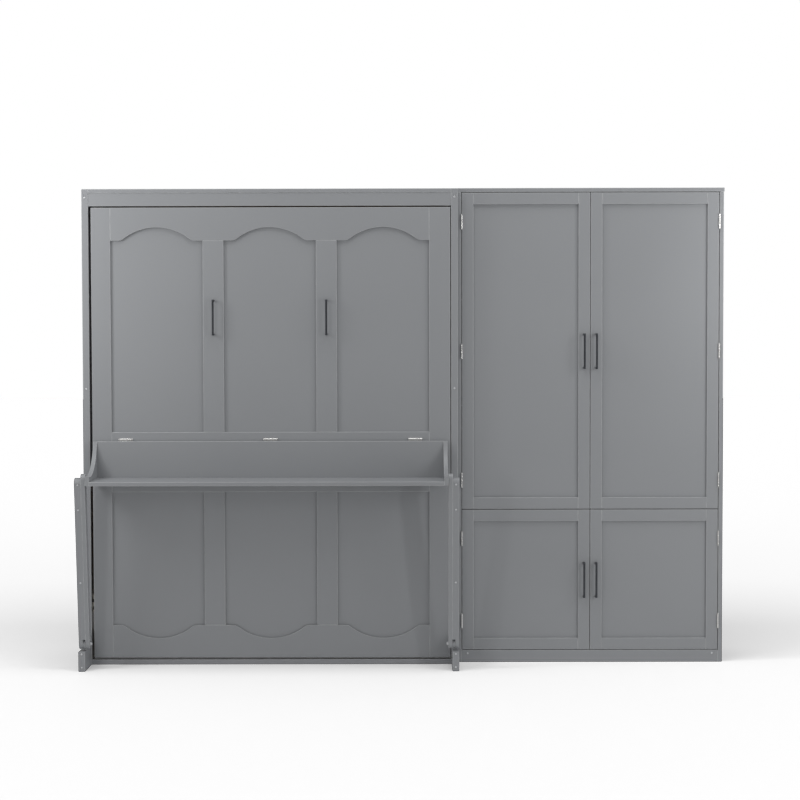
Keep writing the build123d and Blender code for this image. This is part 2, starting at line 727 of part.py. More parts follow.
def make_wardrobe_inside():
    """Upright partitions, loose shelves either side of them, and the pins that carry the shelves."""
    depth = (boards_front, partition_back)
    save_group([board(partition, depth, upper_space), board(partition, depth, lower_space)],
               "wardrobe_partitions")
    sides = ((opening_left, partition[0]), (partition[1], opening_right))
    shelves = []
    pins = []
    pin_y = (depth[0] + 40, depth[1] - 40)
    for space, count in ((upper_space, upper_shelf_count), (lower_space, lower_shelf_count)):
        for height in shelf_heights(space, count):
            for side in sides:
                across = (side[0] + loose_shelf_side_gap, side[1] - loose_shelf_side_gap)
                shelves.append(board(across, depth, (height, height + loose_shelf_thickness)))
                for x in (side[0], side[1] - shelf_pin_length):
                    for y in pin_y:
                        with BuildPart() as pin:
                            with BuildSketch(Plane.YZ.offset(x)):
                                with Locations((y, height - shelf_pin_radius)):
                                    Circle(shelf_pin_radius)
                            extrude(amount=shelf_pin_length)
                        pins.append(pin.part)
    save_group(shelves, "wardrobe_loose_shelves")
    save_group(pins, "wardrobe_shelf_pins")


def door_hinge(hinge_side, height):
    """One butt hinge of a door hung on the left (-1) or right (+1) side panel.

    Returns the fixed leaf with its pin, and the leaf on the door. Both stand in the door's side gap.
    """
    panel_face = opening_left if hinge_side < 0 else opening_right
    inward = -hinge_side
    axis_x = panel_face + inward * door_gap / 2
    axis_y = wardrobe_front - door_hinge_radius - hinge_clearance
    third = door_hinge_length / 3
    starts = [height - door_hinge_length / 2 + i * third for i in range(3)]
    leaf_front = axis_y + door_hinge_radius + hinge_clearance
    fixed_x = panel_face + inward * door_hinge_leaf / 2
    moving_x = panel_face + inward * (door_gap - door_hinge_leaf / 2)
    pin_radius = door_hinge_radius * 0.5

    with BuildPart() as fixed:
        for start in (starts[0], starts[2]):
            with BuildSketch(Plane.XY.offset(start)):
                with Locations((axis_x, axis_y)):
                    Circle(door_hinge_radius)
                with Locations((fixed_x, (axis_y + leaf_front + 1) / 2)):
                    Rectangle(door_hinge_leaf, leaf_front + 1 - axis_y)
            extrude(amount=third)
        with BuildSketch(Plane.XY.offset(starts[0])):
            with Locations((axis_x, axis_y)):
                Circle(pin_radius)
            with Locations((fixed_x, leaf_front + door_hinge_leaf_depth / 2)):
                Rectangle(door_hinge_leaf, door_hinge_leaf_depth)
        extrude(amount=door_hinge_length)

    with BuildPart() as moving:
        with BuildSketch(Plane.XY.offset(starts[1] + hinge_clearance)):
            with Locations((axis_x, axis_y)):
                Circle(door_hinge_radius)
            with Locations((moving_x, (axis_y + leaf_front + 1) / 2)):
                Rectangle(door_hinge_leaf, leaf_front + 1 - axis_y)
            with Locations((axis_x, axis_y)):
                Circle(pin_radius + pin_clearance, mode=Mode.SUBTRACT)
        extrude(amount=third - 2 * hinge_clearance)
        with BuildSketch(Plane.XY.offset(starts[0])):
            with Locations((moving_x, leaf_front + (door_thickness - 1) / 2)):
                Rectangle(door_hinge_leaf, door_thickness - 1)
        extrude(amount=door_hinge_length)
    return fixed.part, moving.part


def make_door(name, x, z):
    """One inset door: stiles, rails and a tongued infill board, saved as one node with five solids."""
    y = (wardrobe_front, wardrobe_front + door_thickness)
    infill_y = (y[0] + infill_setback, y[0] + infill_setback + infill_thickness)
    bay_x = (x[0] + door_stile, x[1] - door_stile)
    bay_z = (z[0] + door_stile, z[1] - door_stile)
    infill_x = (bay_x[0] - infill_tongue, bay_x[1] + infill_tongue)
    infill_z = (bay_z[0] - infill_tongue, bay_z[1] + infill_tongue)
    members = [((x[0], bay_x[0]), z), ((bay_x[1], x[1]), z), (bay_x, (z[0], bay_z[0])), (bay_x, (bay_z[1], z[1]))]
    pieces = []
    for across, up in members:
        with BuildPart() as member:
            with BuildSketch(front_plane(y[1])):
                with Locations(((across[0] + across[1]) / 2, (up[0] + up[1]) / 2)):
                    Rectangle(across[1] - across[0], up[1] - up[0])
            extrude(amount=door_thickness)
            with BuildSketch(front_plane(infill_y[1])):
                with Locations(((infill_x[0] + infill_x[1]) / 2, (infill_z[0] + infill_z[1]) / 2)):
                    Rectangle(infill_x[1] - infill_x[0], infill_z[1] - infill_z[0])
            extrude(amount=infill_thickness, mode=Mode.SUBTRACT)
        pieces.append(member.part)
    pieces.append(board(infill_x, infill_y, infill_z))
    save_group(pieces, name)


def make_doors():
    """Four doors, their handles beside the meeting line, and their hinges."""
    left_door = (opening_left + door_gap, opening_middle - door_gap / 2)
    right_door = (opening_middle + door_gap / 2, opening_right - door_gap)
    fixed_leaves = []
    for level, z, hinge_count in (("upper", upper_door, 3), ("lower", lower_door, 2)):
        first = z[0] + door_hinge_inset
        step = (z[1] - z[0] - 2 * door_hinge_inset) / (hinge_count - 1)
        for side, x, hinge_side in (("left", left_door, -1), ("right", right_door, 1)):
            name = f"door_{level}_{side}"
            make_door(name, x, z)
            pull_x = x[1] - door_stile / 2 if hinge_side < 0 else x[0] + door_stile / 2
            save(bar_pull(pull_x, wardrobe_front, (z[0] + z[1]) / 2), f"{name}_handle")
            pairs = [door_hinge(hinge_side, first + i * step) for i in range(hinge_count)]
            fixed_leaves += [fixed for fixed, moving in pairs]
            save_group([moving for fixed, moving in pairs], f"{name}_hinge_leaves")
    save_group(fixed_leaves, "wardrobe_hinge_leaves")


os.makedirs("parts", exist_ok=True)
make_bed_cabinet()
make_foot_blocks()
make_pivot_plates()
make_face_screws()
make_bed_panel()
make_bed_frame()
make_shelf()
make_shelf_hinges()
make_arms()
make_wardrobe_cabinet()
make_wardrobe_inside()
make_doors()

for label, pivot in (("bed", bed_pivot), ("shelf hinge", shelf_pivot), ("arm top", arm_top_pivot),
                     ("arm foot", arm_foot_pivot)):
    print(label, "pivot: y", round(front - pivot[0], 3), "z", round(pivot[1], 3))
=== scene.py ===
import json
import math

import bmesh
import bpy
from mathutils import Matrix, Vector


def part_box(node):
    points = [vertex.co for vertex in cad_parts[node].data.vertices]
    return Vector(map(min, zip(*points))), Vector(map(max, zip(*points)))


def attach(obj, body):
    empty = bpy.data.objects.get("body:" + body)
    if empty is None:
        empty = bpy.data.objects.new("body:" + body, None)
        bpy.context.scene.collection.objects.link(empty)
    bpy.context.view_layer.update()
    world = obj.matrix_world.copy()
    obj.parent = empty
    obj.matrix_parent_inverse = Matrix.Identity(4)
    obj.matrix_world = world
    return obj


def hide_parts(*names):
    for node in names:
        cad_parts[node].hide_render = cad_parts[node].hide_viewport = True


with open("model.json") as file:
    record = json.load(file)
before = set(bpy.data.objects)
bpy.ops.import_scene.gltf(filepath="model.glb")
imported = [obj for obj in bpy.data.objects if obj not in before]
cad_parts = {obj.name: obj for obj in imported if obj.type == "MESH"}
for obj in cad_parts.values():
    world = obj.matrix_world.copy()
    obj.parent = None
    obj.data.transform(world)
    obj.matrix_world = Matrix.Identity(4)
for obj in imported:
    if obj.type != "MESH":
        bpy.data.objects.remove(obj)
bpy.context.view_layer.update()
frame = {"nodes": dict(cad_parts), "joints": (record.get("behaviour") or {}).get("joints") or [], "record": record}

MM = 0.001
FRONT = Vector((0, -1, 0))
UP = Vector((0, 0, 1))

# ---- places read from the frame
bodies = frame["record"]["behaviour"]["bodies"]
body_of_node = {node: body for body, nodes in bodies.items() for node in nodes}
joint_place = {joint["name"]: Vector(joint["pos_m"]) for joint in frame["joints"]}
stiles_low, stiles_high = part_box("bed_face_stiles")
plinth_low, plinth_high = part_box("wardrobe_plinth_rail")
bed_middle = (stiles_low.x + stiles_high.x) / 2
wardrobe_middle = (plinth_low.x + plinth_high.x) / 2
DOORS = [f"door_{level}_{side}" for level in ("upper", "lower") for side in ("left", "right")]

# ---- how the arrises are found and eased
SAME_PLANE = math.radians(0.5)            # faces that turn less than this are one flat face
SHARP_FROM = math.radians(35)             # an edge that turns more than this is an arris
STILL_FLAT = math.cos(math.radians(4))    # a face nearer than this to an old one is no arris
SHORTEST_ARRIS = 1.5                      # times the radius; shorter edges are left as they are
FRONT_ARRIS = 1.7 * MM                    # radii that the arrises are eased to
SHELF_ARRIS = 1.5 * MM
INSIDE_ARRIS = 0.9 * MM
INFILL_ARRIS = 0.5 * MM
SLAT_ARRIS = 4 * MM
TIMBER_ARRIS = 2 * MM
HANDLE_ARRIS = 1.4 * MM
HINGE_ARRIS = 0.25 * MM
PLATE_ARRIS = 0.5 * MM
PIN_ARRIS = 0.3 * MM

# ---- small sizes of the fittings
FACE_SCREW_SINK = 1.4 * MM                # a face screw's rim below the end of its solid
ARM_SCREW_SINK = 1.3 * MM                 # the same for a screw on an arm
CROSS_BOLT_LENGTH = 20 * MM               # the arms' longer bolts lie across the arm
END_FACE_DEPTH = 0.05 * MM                # corners this near to a solid's end are its end face
LEAF_SCREW_HEIGHTS = (11, 33, 55)         # screws up a door hinge's leaf, mm from its foot
LEAF_SCREW_BACK = 12 * MM                 # the same screws, in from the leaf's back edge
LEAF_FACE = 0.3 * MM                      # the leaf's face, outward from the pin's middle
SLAT_SCREW_INSET = 22 * MM                # in from a slat's long edges
PLATE_BOLT_INSET = 16 * MM                # in from a pivot plate's edges
PLATE_THICKNESS = 4 * MM
SMALL_SIDES = 16                          # sides round the smallest turned parts


# ---- camera: long lens, a little above half the height, square on to the fronts
LENS = 81.77                              # mm, on a sensor 36 mm wide
CAMERA_RIGHT, CAMERA_BACK, CAMERA_HEIGHT = 1.482, 8.305, 1.558    # m, from the bed's left stile
CAMERA_TURN, CAMERA_TIP, CAMERA_ROLL = 0.215, 2.361, 0.12         # degrees


def set_camera():
    """Tripod camera in front of the middle of the pair, tipped slightly down."""
    data = bpy.data.cameras.new("camera")
    data.sensor_width = 36
    data.lens = LENS
    data.clip_end = 100
    camera = bpy.data.objects.new("camera", data)
    bpy.context.scene.collection.objects.link(camera)
    turn, tip, roll = (math.radians(a) for a in (CAMERA_TURN, CAMERA_TIP, CAMERA_ROLL))
    camera.matrix_world = (
        Matrix.Translation((stiles_low.x + CAMERA_RIGHT, stiles_low.y - CAMERA_BACK, CAMERA_HEIGHT))
        @ Matrix.Rotation(turn, 4, "Z")
        @ Matrix.Rotation(math.pi / 2 - tip, 4, "X")
        @ Matrix.Rotation(-roll, 4, "Z")
    )
    bpy.context.scene.camera = camera


set_camera()


# ---- finishes
def linear(code):
    """An sRGB hex colour as linear light."""
    channels = [int(code[i:i + 2], 16) / 255 for i in (1, 3, 5)]
    light = [c / 12.92 if c <= 0.04045 else ((c + 0.055) / 1.055) ** 2.4 for c in channels]
    return (*light, 1.0)


def add(tree, kind, inputs=None, stops=None, **settings):
    """One node: inputs maps a socket to a value or to another node's output, stops fills a ramp."""
    made = tree.nodes.new(kind)
    for name, value in settings.items():
        setattr(made, name, value)
    for socket, value in (inputs or {}).items():
        if isinstance(value, bpy.types.NodeSocket):
            tree.links.new(value, made.inputs[socket])
        else:
            made.inputs[socket].default_value = value
    if stops:
        ramp = made.color_ramp.elements
        while len(ramp) < len(stops):
            ramp.new(0.5)
        for element, (position, value) in zip(ramp, stops):
            element.position = position
            element.color = value
    return made


def new_finish(name):
    """Empty material: returns it, its node tree, its shader and the place on the part in metres."""
    material = bpy.data.materials.new(name)
    material.use_nodes = True
    tree = material.node_tree
    shader = tree.nodes["Principled BSDF"]
    place = tree.nodes.new("ShaderNodeTexCoord").outputs["Object"]
    return material, tree, shader, place


def sprayed_paint(name, body, drift, arris, smooth, rough):
    """Two-pack satin paint, sprayed on sanded board.

    It gives an even mid grey with a soft silky shine, cloudy passes of the gun, a faint orange peel
    that breaks up the highlights, and paler arrises: partly a thinner coat there, partly a painted
    highlight where the arrises catch the light.
    """
    material, tree, shader, place = new_finish(name)
    # overlapping passes of the spray gun, about 600 mm wide together
    passes = add(tree, "ShaderNodeTexNoise",
                 {"Vector": place, "Scale": 1 / 0.6, "Detail": 1.0})
    cloud = add(tree, "ShaderNodeValToRGB", {"Fac": passes.outputs["Fac"]},
                stops=[(0.3, linear(body)), (0.7, linear(drift))])
    # the finest mist of the spray, real grains under 0.5 mm, drawn 1.5 mm across so that they show
    mist = add(tree, "ShaderNodeTexNoise", {"Vector": place, "Scale": 1 / 0.0015, "Detail": 2.0})
    grain = add(tree, "ShaderNodeMapRange",
                {"Value": mist.outputs["Fac"], "From Min": 0.3, "From Max": 0.7,
                 "To Min": 0.985, "To Max": 1.015})
    coat = add(tree, "ShaderNodeMix",
               {0: 1.0, 6: cloud.outputs["Color"], 7: grain.outputs["Result"]},
               data_type="RGBA", blend_type="MULTIPLY")
    # arrises: eased by hand, so the coat is thinner in patches about 40 mm long; the paler arris
    # colour there is also a painted highlight of light caught on the arrises
    edge = add(tree, "ShaderNodeAttribute", attribute_name="arris")
    patches = add(tree, "ShaderNodeTexNoise",
                  {"Vector": place, "Scale": 1 / 0.04, "Detail": 4.0, "Roughness": 0.6})
    thin_coat_and_highlight_patches = add(tree, "ShaderNodeMapRange",
               {"Value": patches.outputs["Fac"], "From Min": 0.35, "From Max": 0.7,
                "To Min": 0.45, "To Max": 0.9})
    arris_wear_and_highlight = add(tree, "ShaderNodeMath", {0: edge.outputs["Fac"], 1: thin_coat_and_highlight_patches.outputs["Result"]},
               operation="MULTIPLY")
    # paler arris colour: part worn coat, part painted highlight of light on the arrises
    colour = add(tree, "ShaderNodeMix",
                 {0: arris_wear_and_highlight.outputs["Value"], 6: coat.outputs[2], 7: linear(arris)},
                 data_type="RGBA")
    tree.links.new(colour.outputs[2], shader.inputs["Base Color"])
    # sheen drifts with the thickness of the coat, over about 300 mm
    thickness = add(tree, "ShaderNodeTexNoise", {"Vector": place, "Scale": 1 / 0.3, "Detail": 1.0})
    sheen = add(tree, "ShaderNodeMapRange",
                {"Value": thickness.outputs["Fac"], "From Min": 0.3, "From Max": 0.7,
                 "To Min": smooth, "To Max": rough})
    tree.links.new(sheen.outputs["Result"], shader.inputs["Roughness"])
    # orange peel: real dimples 1 to 2 mm across and a few hundredths deep, drawn 3 mm across so
    # that they show
    peel = add(tree, "ShaderNodeTexNoise", {"Vector": place, "Scale": 1 / 0.003, "Detail": 1.0})
    relief = add(tree, "ShaderNodeBump",
                 {"Height": peel.outputs["Fac"], "Strength": 0.25, "Distance": 0.04 * MM})
    tree.links.new(relief.outputs["Normal"], shader.inputs["Normal"])
    shader.inputs["IOR"].default_value = 1.5
    return material


RING_SCALE = 1 / 0.004 / 6.28             # scale of the wave that draws a ring every 16 mm


def planed_pine(name, grain_axis):
    """Pine, planed and left bare.

    It gives a warm straw colour with brown growth rings that run with the board, darker knots, and
    a dull surface with fine planing ripple.
    """
    material, tree, shader, place = new_finish(name)
    along = {"X": (0.09, 1.0, 1.0), "Z": (1.0, 1.0, 0.09)}[grain_axis]
    long_grain = add(tree, "ShaderNodeMapping", {"Vector": place, "Scale": along})
    # growth rings, real ones about 4 mm apart, drawn 16 mm apart so that they show, and wandering
    wander = add(tree, "ShaderNodeTexNoise",
                 {"Vector": long_grain.outputs["Vector"], "Scale": 14.0, "Detail": 3.0})
    bend = add(tree, "ShaderNodeVectorMath",
               {0: wander.outputs["Color"], 1: (0.035, 0.035, 0.035)}, operation="MULTIPLY")
    bent = add(tree, "ShaderNodeVectorMath",
               {0: long_grain.outputs["Vector"], 1: bend.outputs["Vector"]}, operation="ADD")
    rings = add(tree, "ShaderNodeTexWave",
                {"Vector": bent.outputs["Vector"], "Scale": RING_SCALE, "Distortion": 2.0,
                 "Detail": 2.0},
                wave_type="BANDS", bands_direction="DIAGONAL")
    fibre = add(tree, "ShaderNodeTexNoise",
                {"Vector": long_grain.outputs["Vector"], "Scale": 1 / 0.0012, "Detail": 2.0})
    mixed = add(tree, "ShaderNodeMix", {0: 0.3, 2: rings.outputs["Fac"], 3: fibre.outputs["Fac"]})
    wood = add(tree, "ShaderNodeValToRGB", {"Fac": mixed.outputs[0]},
               stops=[(0.15, linear("#b98a55")), (0.5, linear("#d9b583")),
                      (0.85, linear("#e4c79a"))])
    # knots, one in every 250 mm or so
    cells = add(tree, "ShaderNodeTexVoronoi", {"Vector": place, "Scale": 1 / 0.25})
    knot = add(tree, "ShaderNodeMapRange",
               {"Value": cells.outputs["Distance"], "From Min": 0.03, "From Max": 0.075,
                "To Min": 0.85, "To Max": 0.0})
    colour = add(tree, "ShaderNodeMix",
                 {0: knot.outputs["Result"], 6: wood.outputs["Color"], 7: linear("#6e4526")},
                 data_type="RGBA")
    tree.links.new(colour.outputs[2], shader.inputs["Base Color"])
    dull = add(tree, "ShaderNodeMapRange",
               {"Value": fibre.outputs["Fac"], "To Min": 0.5, "To Max": 0.72})
    tree.links.new(dull.outputs["Result"], shader.inputs["Roughness"])
    ripple = add(tree, "ShaderNodeBump",
                 {"Height": mixed.outputs[0], "Strength": 0.4, "Distance": 0.2 * MM})
    tree.links.new(ripple.outputs["Normal"], shader.inputs["Normal"])
    shader.inputs["IOR"].default_value = 1.5
    return material


def plated_metal(name, body, tone, smooth, rough, line, depth):
    """Plated or blacked steel: even metal with cloudy plating and the fine lines of its finishing.

    line is the spacing of those lines and depth their depth, in metres; they run up the part.
    """
    material, tree, shader, place = new_finish(name)
    clouds = add(tree, "ShaderNodeTexNoise", {"Vector": place, "Scale": 1 / 0.012, "Detail": 3.0})
    colour = add(tree, "ShaderNodeValToRGB", {"Fac": clouds.outputs["Fac"]},
                 stops=[(0.3, linear(body)), (0.7, linear(tone))])
    tree.links.new(colour.outputs["Color"], shader.inputs["Base Color"])
    drawn = add(tree, "ShaderNodeMapping", {"Vector": place, "Scale": (1.0, 1.0, 0.04)})
    lines = add(tree, "ShaderNodeTexNoise",
                {"Vector": drawn.outputs["Vector"], "Scale": 1 / line, "Detail": 3.0})
    gloss = add(tree, "ShaderNodeMapRange",
                {"Value": lines.outputs["Fac"], "From Min": 0.3, "From Max": 0.7,
                 "To Min": smooth, "To Max": rough})
    tree.links.new(gloss.outputs["Result"], shader.inputs["Roughness"])
    relief = add(tree, "ShaderNodeBump",
                 {"Height": lines.outputs["Fac"], "Strength": 0.3, "Distance": depth})
    tree.links.new(relief.outputs["Normal"], shader.inputs["Normal"])
    shader.inputs["Metallic"].default_value = 1.0
    return material


# Sprayed satin grey on everything that faces the room: silky, slightly cool, paler at the arrises,
# where the pale colour is a thinner coat and a painted highlight together.
satin_grey = sprayed_paint("sprayed_satin_grey_paint",
                           "#96989b", "#989a9d", "#c4c6c7", 0.38, 0.44)
# The same paint in one thinner coat inside the cabinets: flatter and a shade darker, with the same
# paler arrises, part thin coat and part painted highlight.
inside_grey = sprayed_paint("thin_coat_inside_grey_paint",
                            "#8f8f93", "#939396", "#adaeb0", 0.5, 0.62)
# Bare pine slats and bearers: straw and brown with knots, grain along each board.
pine_across = planed_pine("planed_pine_slats", "X")
pine_upright = planed_pine("planed_pine_rails", "Z")
# Bright nickel-plated hinges: nearly white, sharp highlights with faint drawn lines.
bright_nickel = plated_metal("nickel_plated_steel_hinge",
                             "#e9e8e5", "#f3f2f0", 0.16, 0.28, 0.0006, 0.02 * MM)
# Zinc-plated screws: paler grey with a soft, slightly cloudy shine.
zinc = plated_metal("zinc_plated_steel_screw",
                    "#d2d4d6", "#dfe0e2", 0.34, 0.46, 0.0008, 0.03 * MM)
# Pivot plates: zinc with the warm tint of passivation, duller, with rolling marks.
passivated = plated_metal("passivated_steel_plate",
                          "#b5b1a2", "#c3bfae", 0.32, 0.5, 0.0012, 0.05 * MM)
# Handles: dark gunmetal, satin, almost black away from the lights.
gunmetal = plated_metal("satin_gunmetal_handle",
                        "#4b4d51", "#55575b", 0.34, 0.46, 0.0006, 0.03 * MM)


# ---- making the pieces
def piece_from(form, name, body, finish, replaced=()):
    """Turns a bmesh into a piece with its finish, riding on a body and standing for CAD nodes."""
    bmesh.ops.recalc_face_normals(form, faces=form.faces)
    mesh = bpy.data.meshes.new(name)
    form.to_mesh(mesh)
    form.free()
    mesh.materials.append(finish)
    mesh.shade_smooth()
    piece = bpy.data.objects.new(name, mesh)
    bpy.context.scene.collection.objects.link(piece)
    even = piece.modifiers.new("even_faces", "WEIGHTED_NORMAL")
    even.keep_sharp = True
    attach(piece, body)
    if replaced:
        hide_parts(*replaced)
    return piece


def solids(node):
    """The separate solids of a CAD node, each as a list of faces given by their corners' places."""
    mesh = frame["nodes"][node].data
    groups, faces, open_edges = [], [], set()
    for polygon in mesh.polygons:
        corners = [tuple(round(c, 6) for c in mesh.vertices[v].co) for v in polygon.vertices]
        faces.append(corners)
        for pair in zip(corners, corners[1:] + corners[:1]):
            open_edges ^= {frozenset(pair)}
        if not open_edges:
            groups.append(faces)
            faces = []
    if faces:
        groups.append(faces)
    return groups


def solid_form(faces):
    """One solid as a bmesh of whole flat faces."""
    form = bmesh.new()
    verts = {}
    for corners in faces:
        for corner in corners:
            if corner not in verts:
                verts[corner] = form.verts.new(corner)
        if len(set(corners)) == len(corners):
            form.faces.new([verts[corner] for corner in corners])
    bmesh.ops.dissolve_limit(form, angle_limit=SAME_PLANE, verts=form.verts, edges=form.edges)
    bmesh.ops.recalc_face_normals(form, faces=form.faces)
    return form


def eased_form(node, radius, segments, mark_across):
    """A copy of a CAD node's solids with every outer arris eased to a radius and marked as arris.

    mark_across gives the solids that lie along X the second finish of their piece.
    """
    whole = bmesh.new()
    shell = bpy.data.meshes.new("shell")
    for faces in solids(node):
        form = solid_form(faces)
        arrises = [e for e in form.edges
                   if len(e.link_faces) == 2
                   and e.calc_face_angle_signed() > SHARP_FROM
                   and e.calc_length() > radius * SHORTEST_ARRIS]
        low, high = extent([v.co for v in form.verts])
        lies_across = int(mark_across and high.x - low.x > high.z - low.z)
        flats = {tuple(round(c, 3) for c in face.normal): face.normal.copy()
                 for face in form.faces}.values()
        bmesh.ops.bevel(form, geom=arrises, offset=radius, segments=segments, profile=0.5,
                        affect="EDGES", clamp_overlap=False)
        arris = form.faces.layers.float.new("arris")
        for face in form.faces:
            flat = max(face.normal.dot(normal) for normal in flats) > STILL_FLAT
            face[arris] = 0.0 if flat else 1.0
            face.material_index = lies_across
        form.to_mesh(shell)
        form.free()
        whole.from_mesh(shell)
    bpy.data.meshes.remove(shell)
    return whole


def eased(nodes, finish, radius, segments=2, across=None):
    """Finished pieces for CAD nodes whose shape is right but whose arrises are knife-sharp."""
    for node in nodes:
        form = eased_form(node, radius, segments, across is not None)
        piece = piece_from(form, f"{node}_finished", body_of_node[node], finish, [node])
        if across is not None:
            piece.data.materials.append(across)


def plain_rim(angle):
    """Outline of a plain circle."""
    return 1.0


def cross_rim(angle):
    """Outline of a cross recess: four arms."""
    return 0.4 + 0.6 * abs(math.cos(2 * angle)) ** 5


def hex_rim(angle):
    """Outline of a hexagon whose corners lie on the circle."""
    sector = (angle + math.pi / 6) % (math.pi / 3) - math.pi / 6
    return math.cos(math.pi / 6) / math.cos(sector)


def turned(form, centre, axis, rings, sides=24):
    """Adds a turned part: rings of (radius mm, height mm along the axis, rim outline)."""
    across = axis.orthogonal().normalized()
    other = axis.cross(across)
    rows = []
    for radius, height, rim in rings:
        row = []
        for i in range(sides):
            angle = 2 * math.pi * i / sides
            reach = radius * MM * rim(angle)
            outward = across * math.cos(angle) + other * math.sin(angle)
            row.append(form.verts.new(centre + axis * height * MM + outward * reach))
        rows.append(row)
    for row, following in zip(rows, rows[1:]):
        for i in range(sides):
            k = (i + 1) % sides
            form.faces.new((row[i], row[k], following[k], following[i]))
    form.faces.new(rows[0])
    form.faces.new(rows[-1])


# profiles of the turned parts: radius mm, height mm, outline of each ring, from the foot up
PAN_HEAD = [(3.6, -0.6, plain_rim), (4.5, 0.0, plain_rim), (4.5, 0.35, plain_rim),
            (4.1, 0.9, plain_rim), (3.3, 1.25, plain_rim), (2.4, 1.4, plain_rim),
            (2.1, 1.4, cross_rim), (1.5, 0.2, cross_rim)]
FLAT_HEAD = [(3.2, -0.5, plain_rim), (3.4, 0.0, plain_rim), (3.3, 0.15, plain_rim),
             (2.2, 0.22, plain_rim), (2.0, 0.22, cross_rim), (1.4, -0.4, cross_rim)]
HEX_HEAD = [(8.5, -0.2, plain_rim), (8.5, 1.0, plain_rim), (7.4, 1.0, hex_rim),
            (7.4, 4.6, hex_rim), (6.4, 5.4, plain_rim), (2.0, 5.5, plain_rim)]
HINGE_TIP = [(2.2, -0.5, plain_rim), (2.9, 0.0, plain_rim), (2.9, 0.5, plain_rim),
             (2.3, 1.3, plain_rim), (1.2, 1.9, plain_rim), (0.4, 2.1, plain_rim)]


def islands(node):
    """Corner places of each separate solid in a CAD node."""
    return [[Vector(corner) for corner in {c for face in faces for c in face}]
            for faces in solids(node)]


def extent(points):
    """Lowest and highest corner of some points."""
    low = Vector([min(p[i] for p in points) for i in range(3)])
    high = Vector([max(p[i] for p in points) for i in range(3)])
    return low, high


def end_centre(points, direction):
    """Middle of the end face that a solid turns towards a direction."""
    reach = max(p.dot(direction) for p in points)
    face = [p for p in points if reach - p.dot(direction) < END_FACE_DEPTH]
    low, high = extent(face)
    return (low + high) / 2


def face_screw_heads():
    """Pan heads with cross recesses on the stiles, the foot blocks and the plinth."""
    form = bmesh.new()
    for solid in islands("face_screws"):
        turned(form, end_centre(solid, FRONT) - FRONT * FACE_SCREW_SINK, FRONT, PAN_HEAD)
    piece_from(form, "face_screw_heads", "cabinet", zinc, ["face_screws"])


def arm_screw_heads(side):
    """Pan heads on an arm's front face, square to the leaning arm, and its bolt's hexagon head."""
    foot = joint_place[f"arm_{side}_swing"]
    bolts = islands(f"arm_{side}_bolts")
    across = [b for b in bolts if (extent(b)[1] - extent(b)[0]).x > CROSS_BOLT_LENGTH]
    shelf_end = max(across, key=lambda bolt: extent(bolt)[1].z)
    low, high = extent(shelf_end)
    top = Vector((foot.x, (low.y + high.y) / 2, (low.z + high.z) / 2))
    lean = (top - foot).normalized()
    out = Vector((0, -lean.z, lean.y))
    form = bmesh.new()
    for bolt in bolts:
        if bolt not in across:
            turned(form, end_centre(bolt, out) - out * ARM_SCREW_SINK, out, PAN_HEAD)
    inward = Vector((1 if side == "left" else -1, 0, 0))
    for bolt in across:
        if bolt is not shelf_end:
            turned(form, end_centre(bolt, inward), inward, HEX_HEAD)
    piece_from(form, f"arm_{side}_screw_heads", f"arm_{side}", zinc)


def wardrobe_hinge_details():
    """Domed tips on the doors' hinge pins, and the countersunk screws in the fixed leaves."""
    tips, screws = bmesh.new(), bmesh.new()
    for solid in islands("wardrobe_hinge_leaves"):
        low, high = extent(solid)
        axis = Vector(((low.x + high.x) / 2, low.y + (high.x - low.x) / 2, 0))
        turned(tips, axis + UP * high.z, UP, HINGE_TIP, SMALL_SIDES)
        turned(tips, axis + UP * low.z, -UP, HINGE_TIP, SMALL_SIDES)
        inward = 1 if axis.x < wardrobe_middle else -1
        leaf_face = axis.x - inward * LEAF_FACE
        for height in LEAF_SCREW_HEIGHTS:
            place = Vector((leaf_face, high.y - LEAF_SCREW_BACK, low.z + height * MM))
            turned(screws, place, Vector((inward, 0, 0)), FLAT_HEAD, SMALL_SIDES)
    piece_from(tips, "wardrobe_hinge_tips", "cabinet", bright_nickel)
    piece_from(screws, "wardrobe_hinge_screws", "cabinet", zinc)


def shelf_hinge_details():
    """Domed tips on the pins of the shelf's hinges, which lie along the shelf."""
    axis = joint_place["shelf_level"]
    tips = bmesh.new()
    for solid in islands("bed_hinge_leaves"):
        low, high = extent(solid)
        for x, out in ((low.x, -1), (high.x, 1)):
            turned(tips, Vector((x, axis.y, axis.z)), Vector((out, 0, 0)), HINGE_TIP, SMALL_SIDES)
    piece_from(tips, "shelf_hinge_tips", "bed", bright_nickel)


def slat_screws():
    """Two screws through each slat into every bearer."""
    form = bmesh.new()
    bearers = [extent(solid) for solid in islands("slat_bearers")]
    back_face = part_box("bed_slats")[1].y
    for solid in islands("bed_slats"):
        low, high = extent(solid)
        for left_edge, right_edge in bearers:
            for z in (low.z + SLAT_SCREW_INSET, high.z - SLAT_SCREW_INSET):
                place = Vector(((left_edge.x + right_edge.x) / 2, back_face, z))
                turned(form, place, -FRONT, FLAT_HEAD, SMALL_SIDES)
    piece_from(form, "slat_screws", "bed", zinc)


def pivot_bolts(node, towards_middle):
    """Four hexagon bolts in each pivot plate.

    towards_middle is 1 for the plate's side that faces the bed's middle, -1 for the other side.
    """
    form = bmesh.new()
    for solid in islands(node):
        low, high = extent(solid)
        middle = (low.x + high.x) / 2
        inward = 1 if middle < bed_middle else -1
        out = inward * towards_middle
        face = low.x if inward > 0 else high.x
        if towards_middle > 0:
            face += inward * PLATE_THICKNESS
        half_y = (high.y - low.y) / 2 - PLATE_BOLT_INSET
        half_z = (high.z - low.z) / 2 - PLATE_BOLT_INSET
        for y in (-half_y, half_y):
            for z in (-half_z, half_z):
                place = Vector((face, (low.y + high.y) / 2 + y, (low.z + high.z) / 2 + z))
                turned(form, place, Vector((out, 0, 0)), HEX_HEAD)
    return form


